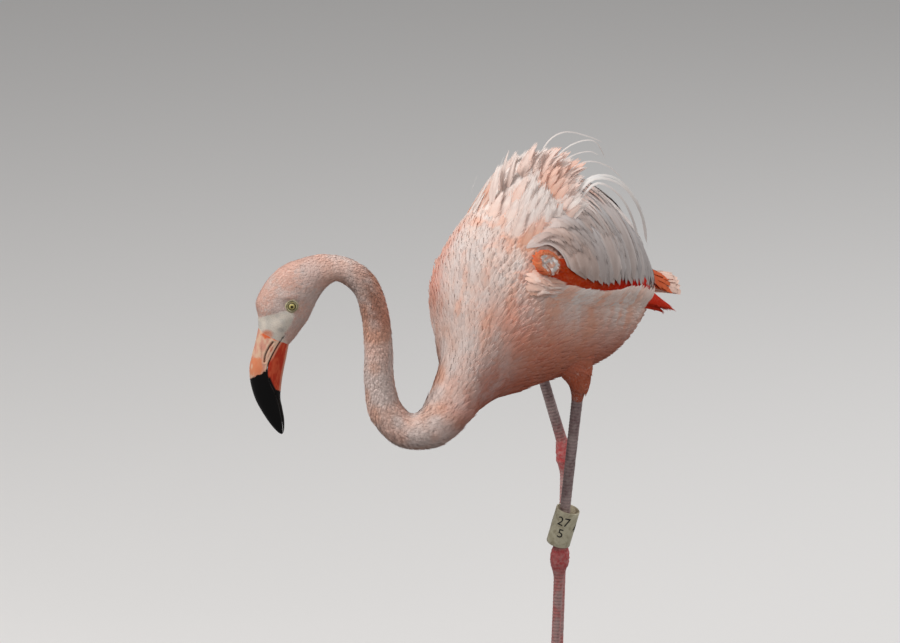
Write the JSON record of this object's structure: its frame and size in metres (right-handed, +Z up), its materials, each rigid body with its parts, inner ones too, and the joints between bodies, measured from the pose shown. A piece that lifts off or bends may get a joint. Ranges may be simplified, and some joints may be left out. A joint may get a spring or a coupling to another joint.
{
  "type": "flamingo",
  "caption": "Life-size standing flamingo in a wading pose, with one leg lifted, a long neck hanging forward in a curve, a bent bill and raised back feathers.",
  "frame": {"origin": "on the sole of the standing left foot, under the middle toe, on the floor", "axes": "+Z up; -Y the way the breast faces; +X the bird's left"},
  "size_m": [0.2639, 0.5289, 0.707],
  "materials": {
    "plumage": "soft matt plumage, salmon pink with pale and orange streaks",
    "pale_plumage": "soft matt plumage, white tinged with peach",
    "wing_red": "smooth matt feathers, orange red",
    "bare_skin": "scaly skin, grey lavender",
    "joint_pink": "scaly skin, pink red",
    "bill_base": "satin horn, pale pink and orange with a black tip",
    "bill_red": "satin horn, orange red with a black tip",
    "iris": "wet gloss, pale yellow round a black pupil",
    "band": "ivory plastic with black digits"
  },
  "bodies": {
    "root": {"trunk": "plumage", "neck_lower": "plumage", "neck_middle": "plumage", "neck_upper": "plumage", "head": "plumage", "eye_left": "iris", "eye_right": "iris", "bill_upper": "bill_base", "bill_lower": "bill_red", "mantle": "pale_plumage", "wing_left": "wing_red", "wing_right": "wing_red", "tertials_left": "pale_plumage", "tertials_right": "pale_plumage", "tail": "pale_plumage", "thigh_left": "plumage", "shank_left": "bare_skin", "ankle_left": "joint_pink", "tarsus_left": "bare_skin", "foot_left": "joint_pink", "thigh_right": "plumage", "shank_right": "bare_skin", "ankle_right": "joint_pink", "tarsus_right": "bare_skin", "foot_right": "joint_pink", "leg_band": "band"}
  },
  "joints": []
}
